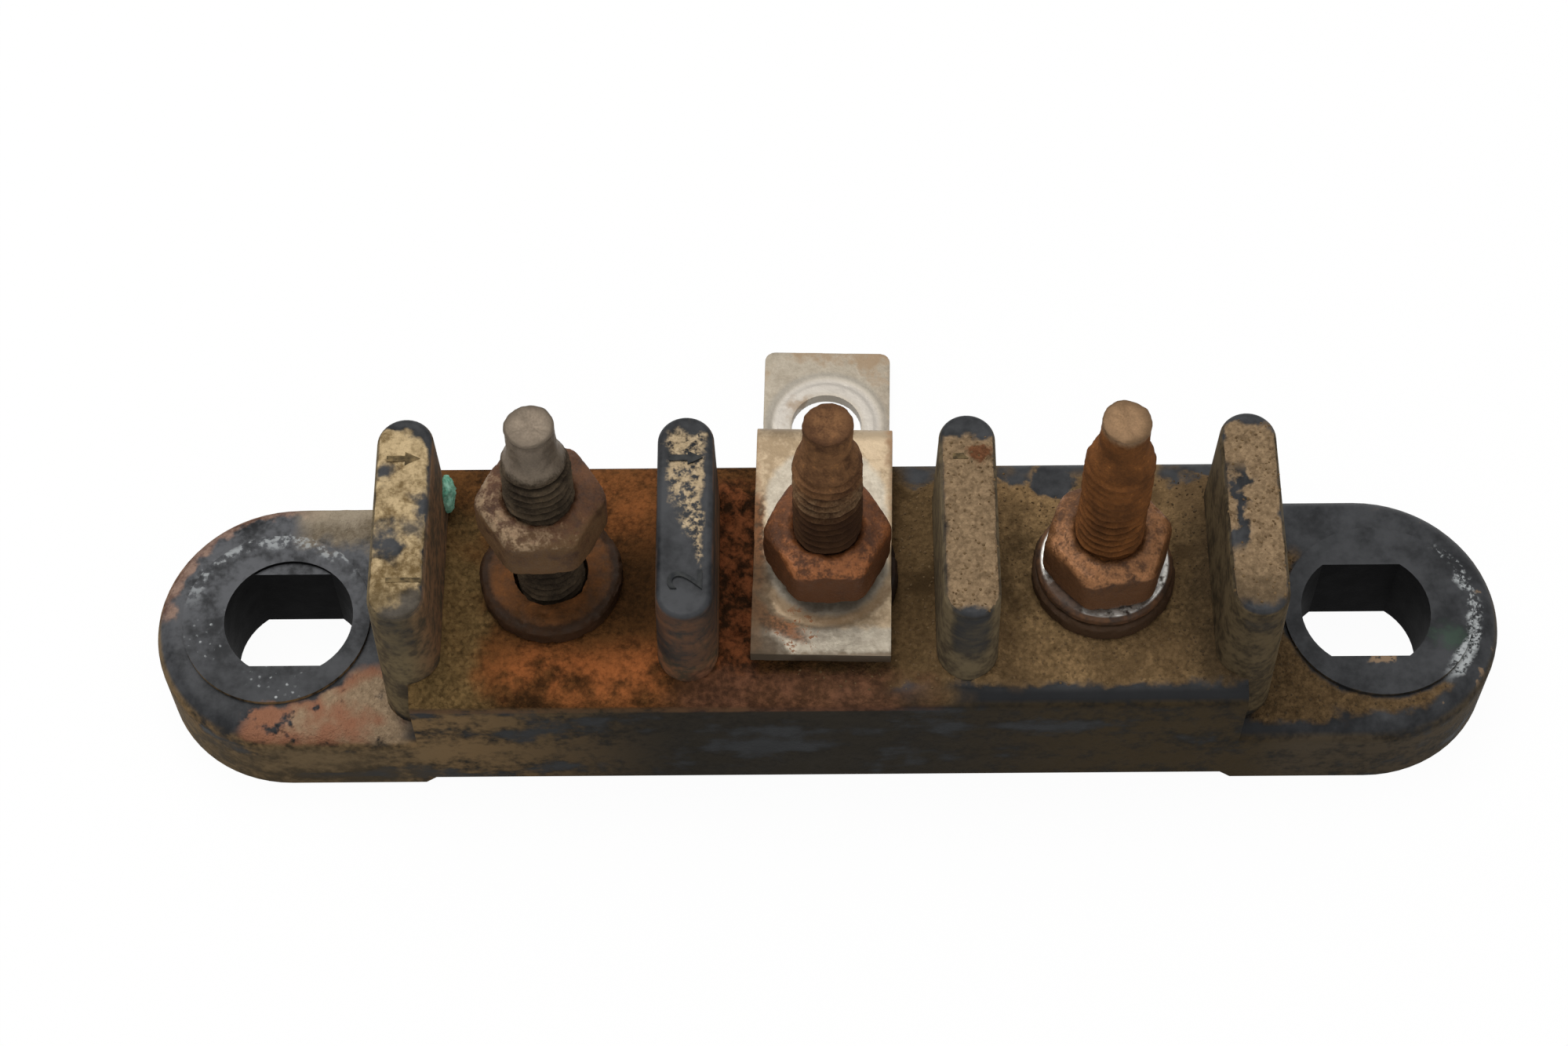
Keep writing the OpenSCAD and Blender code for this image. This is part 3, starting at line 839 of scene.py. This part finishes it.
# Studs: three hex-headed M6 steel studs, pushed up from below and held by the base.
# The thread is rolled, with a plain dog point for starting the nut. The left one is worn
# to grey steel, and rust has grown over the upper threads of the other two.
stud_x = (-24.0, 0.0, 24.0)
stud_radius, head_flats, pitch, thread_depth = 3.0, 10.0, 1.0, 0.61
head_foot, head_top, thread_foot, thread_top = 2.6, 6.6, 14.0, 35.0
taper_top, tip_radius, tip_top, tip_round = 38.6, 2.1, 41.6, 0.18
shank_ring, thread_pits = 10.0, 0.6
segments, rings_per_pitch, taper_rings, tip_rings = 72, 12, 14, 10


def hexagon(flats, angle):
    """Radius of a hexagon with a corner on x, at an angle."""
    return flats / 2 / math.cos((angle % (math.pi / 3)) - math.pi / 6)


def stud_mesh(name, centre):
    """A stud turned about its axis, from its head up: rings of points joined by quads, closed at the ends."""
    angles = [2 * math.pi * i / segments for i in range(segments)]
    head = [(head_foot, 0.96), (head_foot + 0.2, 1.0), (head_top - 0.2, 1.0), (head_top, 0.97)]
    rings = [[(hexagon(head_flats, a) * share, a, z) for a in angles] for z, share in head]
    count = round((thread_top - thread_foot) / pitch * rings_per_pitch)
    profile = [(stud_radius, head_top), (stud_radius, shank_ring)]
    profile += [(stud_radius, thread_foot + (thread_top - thread_foot) * i / count) for i in range(count + 1)]
    for i in range(1, taper_rings + 1):
        share = i / taper_rings
        fall = share * share * (3 - 2 * share)
        height = thread_top + (taper_top - thread_top) * share
        profile.append((stud_radius + (tip_radius - stud_radius) * fall, height))
    plain = tip_top - tip_round - taper_top
    profile += [(tip_radius, taper_top + plain * i / tip_rings) for i in range(1, tip_rings + 1)]
    end_radius = tip_radius - 1.6 * tip_round
    profile.append((tip_radius - 0.6 * tip_round, tip_top - 0.35 * tip_round))
    profile += [(end_radius * share, tip_top) for share in (1.0, 0.75, 0.5, 0.25)]
    rings += [[(r, a, z) for a in angles] for r, z in profile]
    points = [(centre + r * math.cos(a), r * math.sin(a), z) for ring in rings for r, a, z in ring]
    faces = []
    for row in range(len(rings) - 1):
        for i in range(segments):
            j = (i + 1) % segments
            low, high = row * segments, (row + 1) * segments
            faces.append((low + i, low + j, high + j, high + i))
    faces.append(tuple(reversed(range(segments))))
    faces.append(tuple(range((len(rings) - 1) * segments, len(rings) * segments)))
    mesh = bpy.data.meshes.new(name)
    mesh.from_pydata([Vector(p) * MM for p in points], [], faces)
    return link(bpy.data.objects.new(name, mesh))


def rolled_thread(centre):
    """The helical groove, fading where rust fills it, with pits all over."""

    def groove(spot, size):
        angle = spot.y.math("ARCTAN2", spot.x - centre) / (2 * math.pi)
        phase = (spot.z / size["pitch"] - angle).math("FRACT")
        flank = (((phase * 2 - 1).size() - 0.14) / 0.72).least(1.0).most(0.0)
        filled = spot.z.step(size["clear to"], size["clear to"] + 3.0) * (1 - size["left over"])
        threaded = spot.z.band(thread_foot + 0.5, thread_top + 1.0, 0.4) * (1 - filled)
        pits = spot.noise(0.9, 4, seed=31) * 0.5 + spot.noise(2.5, 3, seed=32) * 0.6
        above = spot.z.step(thread_foot, thread_foot + 1)
        cut = flank * threaded
        return (pits - 0.12).least(0.0) * size["pits"] * above - cut * thread_depth, cut

    return groove


def darker(colour, share):
    """The same colour with a share of its light."""
    return tuple(c * share for c in colour[:3]) + (1.0,)


def rust_recipe(centre, look):
    """Rust in three tones, darker low down, over steel that shows between two heights."""
    (dark, mid, bright), steel = look["rust"], look["steel"]

    def recipe(spot):
        cloud = spot.noise(2.6, 3, seed=41)
        mottle = spot.noise(0.7, 3, seed=42)
        speck = spot.noise(0.18, 1, seed=43)
        rust = (cloud * 0.9 + mottle * 0.5 + speck * 0.3).step(-0.3, 0.3).blend(dark, mid)
        rust = (mottle + cloud * 0.7 + speck * 0.5).step(0.18, 0.42).blend(rust, bright)
        bare = spot.z.band(*look["bare"], 1.2) * look["bared"]
        bare = (bare + mottle * 0.5 + speck * 0.2 - 0.1).step(0.0, 0.55) * bare.step(0.0, 0.2)
        # the rust is darkened low down on the stud, by the share that each look gives
        darker_low = (spot.z + cloud * 3).fall(28.5, 35.0) * look["darker_low"]
        rust = darker_low.blend(rust, darker(dark, 0.5))
        rim = (spot.z - tip_top).step(-0.6, -0.1) * (spot.away(centre, 0) + mottle * 0.5).step(0.9, 2.0)
        rust = (rim * 0.7).blend(rust, dark)
        worn = (cloud + mottle + speck).step(-0.4, 0.4).blend(darker(steel, 0.72), steel)
        worn = (rim * 0.7).blend(worn, darker(steel, 0.5))
        # darker in the groove of the thread, where the rolled thread is cut deepest
        in_groove = spot.mark().step(0.25, 0.8)
        return {
            "Base Color": (in_groove * 0.85).blend(bare.blend(rust, worn), darker(dark, 0.5)),
            "Roughness": (0.88 - bare * 0.36 + mottle * 0.2).least(0.97),
            "Metallic": bare * 0.55,
            "Normal": spot.bump((mottle * 0.08 + speck * 0.05) * (1 - bare * 0.7)),
        }

    return recipe


stud_looks = {
    "left": {
        "rust": (paint(48, 40, 32), paint(96, 82, 65), paint(112, 92, 70)),
        "steel": paint(127, 114, 99),
        "bare": (36.8, 45.0),
        "bared": 1.0,
        "darker_low": 0.0,
        "thread": {"clear to": 38.0, "left over": 1.0},
    },
    "middle": {
        "rust": (paint(78, 53, 37), paint(150, 108, 72), paint(176, 120, 72)),
        "steel": paint(148, 124, 94),
        "bare": (30.5, 34.0),
        "bared": 0.3,
        "darker_low": 0.85,
        "thread": {"clear to": 32.0, "left over": 0.5},
    },
    "right": {
        "rust": (paint(90, 58, 34), paint(138, 88, 48), paint(168, 110, 60)),
        "steel": paint(142, 113, 84),
        "bare": (41.0, 45.0),
        "bared": 0.9,
        "darker_low": 0.0,
        "thread": {"clear to": 28.0, "left over": 0.3},
    },
}
for x, (side, look) in zip(stud_x, stud_looks.items()):
    stud = stud_mesh(f"threaded_stud_{side}", x)
    steel = finish(f"stud_steel_{side}", rust_recipe(x, look), Specular_IOR_Level=0.1)
    thread = {"pitch": pitch, "pits": thread_pits, **look["thread"]}
    reshape(stud, f"rolled_thread_{side}", thread, rolled_thread(x), steel)
    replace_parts(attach(stud, "root"), f"stud_{side}")


# Washers: a turned contact washer seats on the block at each stud, dark with old oxide, and
# the right one has a thinner plated flat washer on it, still bright where the nut turned on it.
washer_cells = 6
plain_bright = (4.3, 5.5)


def fine_copy(node, name, cells):
    """An even, fine mesh of a CAD node's shape, for a piece whose edges are worn."""
    piece = piece_from(shell_of(node), name)
    remesh = piece.modifiers.new("even", "REMESH")
    remesh.mode, remesh.octree_depth, remesh.scale = "SHARP", cells, 0.99
    remesh.use_remove_disconnected = False
    return keep_mesh(piece)


def soften(piece, passes):
    """Round a piece's edges a little, as wear and corrosion do."""
    smooth = piece.modifiers.new("worn", "SMOOTH")
    smooth.factor, smooth.iterations = 0.5, passes
    return keep_mesh(piece)


def pitted(depth_seed):
    """Corrosion: pits into the surface and a ragged loss of metal along the rim."""

    def loss(spot, size):
        pits = (spot.noise(0.8, 4, seed=depth_seed) - 0.02).most(0.0)
        broad = (spot.noise(2.8, 3, seed=depth_seed + 1) + 0.05).most(0.0)
        return -(pits * size["pits"] + broad * size["loss"]), None

    return loss


def oxide_recipe(centre, tones):
    """Dark oxide with brown rust, smoother and a little shiny where nothing has lifted it."""

    def recipe(spot):
        cloud = spot.noise(2.4, 3, seed=51)
        mottle = spot.noise(0.6, 3, seed=52)
        speck = spot.noise(0.2, 1, seed=53)
        oxide = (cloud + mottle * 0.5 + speck * 0.3).step(-0.26, 0.28).blend(tones[0], tones[1])
        oxide = (mottle + cloud * 0.8).step(0.16, 0.36).blend(oxide, tones[2])
        rim = spot.up.fall(0.3, 0.7).most((spot.away(centre, 0) + mottle).step(5.0, 5.6))
        return {
            "Base Color": (rim * 0.85).blend(oxide, tones[3]),
            "Roughness": 0.68 + mottle * 0.5 + cloud * 0.3,
            "Normal": spot.bump(mottle * 0.07 + speck * 0.03),
        }

    return recipe


def zinc_recipe(spot):
    """Zinc left bright in a ring round the nut, and rust over the rest."""
    cloud = spot.noise(2.6, 3, seed=55)
    mottle = spot.noise(0.6, 3, seed=56)
    ring = spot.away(stud_x[2], 0).band(*plain_bright, 0.12) * spot.up.step(0.5, 0.85)
    shaded = (spot.away(stud_x[2] - 3.7, -3.4) + mottle * 2).fall(1.6, 2.6)
    plated = ring * (cloud * 1.2 + mottle * 0.7 + 0.2).step(-0.08, 0.1) * (1 - shaded * 0.9)
    rust = (cloud + mottle * 0.6).step(-0.26, 0.26).blend(paint(52, 40, 32), paint(112, 78, 52))
    bright = (mottle + 0.1).step(-0.2, 0.2).blend(paint(150, 144, 134), paint(214, 212, 206))
    return {
        "Base Color": plated.blend(rust, bright),
        "Roughness": 0.62 - plated * 0.22 + mottle * 0.3,
        "Metallic": plated * 0.8 + 0.1,
        "Normal": spot.bump(mottle * 0.05),
    }


oxide_tones = {
    "left": (paint(80, 52, 27), paint(128, 81, 43), paint(146, 94, 52), paint(40, 28, 18)),
    "middle": (paint(44, 29, 18), paint(84, 52, 29), paint(116, 70, 38), paint(26, 18, 12)),
    "right": (paint(64, 45, 27), paint(108, 76, 45), paint(136, 94, 55), paint(66, 48, 34)),
}
for x, (side, tones) in zip(stud_x, oxide_tones.items()):
    washer = fine_copy(f"contact_washer_{side}", f"seat_washer_{side}", washer_cells)
    soften(washer, 2)
    oxide = finish(f"washer_oxide_{side}", oxide_recipe(x, tones), Specular_IOR_Level=0.2)
    reshape(washer, f"washer_pits_{side}", {"pits": 0.8, "loss": 0.8}, pitted(54), oxide)
    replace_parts(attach(washer, "root"), f"contact_washer_{side}")

plain_washer = fine_copy("flat_washer_right", "plain_washer", washer_cells)
soften(plain_washer, 1)
zinc = finish("worn_zinc", zinc_recipe, Specular_IOR_Level=0.3)
reshape(plain_washer, "plain_washer_pits", {"pits": 0.3, "loss": 0.25}, pitted(56), zinc)
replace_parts(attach(plain_washer, "root"), "flat_washer_right")


# Link bar: a tinned copper strip, bent down behind the block and out again to a screw tab.
# It hangs on the middle stud. An old lug has kept the plate bright round the stud, a washer has
# printed a ring round the other hole, and rust has run across it from the nut above.
bar_cells = 8
tab_hole, bar_hole = (0.24, 24.39), (-0.4, 0.0)
lug_reach = 6.3


def handled(spot, size):
    """The prints of the washers, and small dents."""
    print_tab = spot.away(*tab_hole).band(4.6, 5.3, 0.15) * spot.z.fall(2, 3)
    print_nut = spot.away(*bar_hole).band(5.9, 6.4, 0.2) * spot.z.step(17.5, 18.0)
    dents = (spot.noise(3.5, 3, seed=61) - 0.1).most(0.0)
    dents = dents + (spot.noise(0.9, 3, seed=62) - 0.12).most(0.0) * 0.5
    return -(print_tab.most(print_nut) * size["print"] + dents * size["dents"]), None


def link_recipe(spot):
    """Dull tin plate with tan stain, rust runs and brighter metal where washers rubbed, with painted shade
    along the front edge and on the end face.
    """
    x, y, z = spot.x, spot.y, spot.z
    cloud = spot.noise(4.0, 3, seed=63)
    mottle = spot.noise(0.9, 4, seed=64)
    speck = spot.noise(0.25, 2, seed=65)
    upper = z.step(16, 17)
    from_nut, from_tab = spot.away(*bar_hole), spot.away(*tab_hole)
    ragged = mottle * 1.6 + cloud

    plate = (mottle * 0.9 + cloud * 0.5 + speck * 0.4).step(-0.3, 0.3)
    tab = layered(
        plate.blend(paint(136, 126, 110), paint(162, 152, 136)),
        (from_tab.band(3.4, 5.2, 0.5), paint(174, 167, 157)),
        (from_tab.band(5.3, 5.9, 0.3) * 0.5, paint(128, 124, 116)),
    )
    silver = plate.blend(paint(146, 136, 120), paint(184, 174, 156))
    tanned = (plate + cloud).step(0.0, 1.0).blend(paint(138, 119, 93), paint(178, 158, 130))
    along = y - y.least(lug_reach).most(0.0)
    off_lug = (x * x + along * along).math("SQRT") + ragged * 0.5
    top = (off_lug.step(4.9, 5.6) * (y + ragged * 0.8).step(-6.8, -6.0)).blend(silver, tanned)

    stain = cloud * 1.3 + mottle * 0.5 + (y.step(27, 33) + x.step(1, 6)) * 0.12 - 0.1
    stain = stain.step(0.0, 0.26) * (1 - upper)
    halo = off_lug.band(5.2, 6.2, 0.4) * y.fall(-3, -1) * upper
    arc = (from_nut + ragged * 0.8).band(6.5, 7.9, 0.4) * y.fall(-3.5, -2)
    arc = arc * (x + y * 0.2 + ragged).fall(-4.6, -2.6) * (mottle + 0.35).step(0.0, 0.25)
    left_edge = (x + y * 0.026 + ragged).fall(-5.7, -5.0) * (y + cloud * 5).band(-2.5, 6.5, 1.5)
    left_edge = left_edge * (mottle + cloud + 0.3).step(0.0, 0.25)
    freckles = (spot.away(-3.0, -6.6) + ragged).fall(1.8, 3.0)
    freckles = freckles * (mottle + speck * 0.9 + cloud * 0.4).step(0.08, 0.2)
    runs = arc.most(left_edge).most(freckles) * upper
    rust = (mottle + speck).step(-0.2, 0.2).blend(paint(88, 58, 37), paint(152, 96, 58))
    edge = ((x + y * 0.026).size() + mottle * 1.6).step(5.4, 6.4) * z.step(1.0, 3.0)
    rusty_edge = (mottle + 0.1).step(-0.1, 0.2).blend(paint(112, 86, 60), paint(160, 112, 72))
    # painted shade: the last half millimetre of the plate's front, darkened like the shadow under its edge
    front = (y + mottle * 0.8).fall(-9.0, -8.4)
    grimy = (spot.away(-6.7, -9.2) + ragged * 1.5).fall(1.8, 4.0)
    grimy = grimy.most((x + ragged).fall(-5.3, -4.1) * y.band(-8.0, 0.5, 1.5) * 0.8) * upper
    colour = layered(
        upper.blend(tab, top),
        (stain * 0.6, paint(168, 138, 104)),
        (halo * 0.3, paint(160, 122, 82)),
        (runs * 0.85, rust),
        (edge * 0.55, rusty_edge),
        (grimy * 0.85, plate.blend(paint(78, 62, 46), paint(104, 84, 62))),
        # painted shade along the front edge of the plate, then on its front end face
        (front * 0.85, paint(88, 74, 57)),
        (spot.ahead.step(0.4, 0.8) * upper * 0.8, paint(70, 59, 46)),
    )
    dull = runs.most(edge * 0.8).most(stain * 0.5).most(halo * 0.5).most(grimy)
    return {
        "Base Color": colour,
        "Roughness": (0.46 + mottle * 0.2 + dull * 0.4).least(0.95),
        "Metallic": 0.6 - dull * 0.5,
        "Normal": spot.bump(mottle * 0.03 + speck * 0.015 + runs * mottle * 0.1),
    }


link_bar = fine_copy("link_bar", "link_strip", bar_cells)
soften(link_bar, 2)
tin_plate = finish("tinned_strip", link_recipe, Specular_IOR_Level=0.3)
reshape(link_bar, "washer_prints", {"print": 0.06, "dents": 0.25}, handled, tin_plate)
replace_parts(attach(link_bar, "root"), "link_bar")


# Nuts: plain M6 hex nuts in steel, rusted solid, each stopped where it seized. The left one is
# backed well off, the middle one stands just clear of the link bar and the right one is done up.
nut_cells = 6
nut_softening, chamfer_height = 36, 1.4
# The polish colour is also a painted highlight on the chamfer: share sets how much of it shows and lean moves
# it to the left.
nut_looks = {
    "left": {
        "rust": (paint(62, 40, 26), paint(108, 72, 47), paint(138, 92, 60)),
        "facet": paint(108, 82, 53),
        "highlight_polish": paint(146, 122, 95),
        "share": 0.02,
        "lean": 0.06,
    },
    "middle": {
        "rust": (paint(72, 43, 24), paint(126, 77, 45), paint(160, 98, 54)),
        "facet": paint(86, 52, 27),
        "highlight_polish": paint(146, 91, 54),
        "share": 0.18,
        "lean": 0.0,
    },
    "right": {
        "rust": (paint(70, 45, 27), paint(126, 84, 51), paint(156, 108, 70)),
        "facet": paint(96, 63, 37),
        "highlight_polish": paint(150, 104, 68),
        "share": 0.34,
        "lean": 0.0,
    },
}


def nut_recipe(centre, chamfer_foot, look):
    """Rust over the whole nut, in a tone of its own on the flats in front. The chamfer is worn to pale metal
    on its front, and also on its left on the left nut: polish, and a painted highlight as well.
    """
    (dark, mid, bright), highlight_polish = look["rust"], look["highlight_polish"]

    def recipe(spot):
        cloud = spot.noise(2.8, 3, seed=71)
        mottle = spot.noise(0.7, 4, seed=72)
        speck = spot.noise(0.2, 1, seed=73)
        rust = (cloud + mottle * 0.5 + speck * 0.3).step(-0.3, 0.3).blend(dark, mid)
        rust = (mottle + cloud * 0.5 + speck * 0.5).step(0.2, 0.42).blend(rust, bright)
        # the flats that face the front take a tone of their own
        front_flats_and_grain_tones = spot.ahead.step(0.1, 0.6) * (cloud + mottle * 0.5 + 0.35).step(0.0, 0.4)
        rust = (front_flats_and_grain_tones * 0.8).blend(rust, look["facet"])
        # painted highlight: pale polished metal on the chamfer, pushed to the front, and to the left by lean
        crown = spot.z.step(chamfer_foot, chamfer_foot + 0.5) * spot.up.band(0.3, 1.0, 0.15)
        highlight_bias = look["share"] - spot.y * 0.05 - (spot.x - centre) * look["lean"]
        highlight_polish_tones = (mottle * 1.3 + speck * 0.7 + cloud * 0.5).step(-0.34, 0.26)
        highlight_polish_tones = highlight_polish_tones.blend(darker(highlight_polish, 0.42), highlight_polish)
        polish_and_highlight = crown * (cloud * 1.2 + mottle * 1.1 + speck * 0.4 + highlight_bias).step(0.1, 0.5)
        return {
            "Base Color": polish_and_highlight.blend(rust, highlight_polish_tones),
            "Roughness": (0.66 - polish_and_highlight * 0.28 + mottle * 0.5).least(0.97),
            "Metallic": polish_and_highlight * 0.5,
            "Normal": spot.bump((mottle * 0.13 + speck * 0.05) * (1 - polish_and_highlight * 0.3)),
        }

    return recipe


def seized(centre, top):
    """Pits all over, and a collar of rust that has grown up round the thread."""

    def growth(spot, size):
        sunk = pitted(74)(spot, size)[0]
        collar = spot.away(centre, 0).fall(3.2, 4.3) * spot.z.step(top - 1.3, top - 0.5)
        return sunk + collar * size["collar"] * (spot.noise(0.8, 3, seed=75) + 0.8), None

    return growth


for x, (side, look) in zip(stud_x, nut_looks.items()):
    nut = fine_copy(f"nut_{side}", f"hex_nut_{side}", nut_cells)
    soften(nut, nut_softening)
    nut_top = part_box(f"nut_{side}")[1].z / MM
    rust = finish(f"nut_rust_{side}", nut_recipe(x, nut_top - chamfer_height, look), Specular_IOR_Level=0.25)
    reshape(nut, f"nut_pits_{side}", {"pits": 0.45, "loss": 0.5, "collar": 0.5}, seized(x, nut_top), rust)
    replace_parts(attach(nut, "root"), f"nut_{side}")
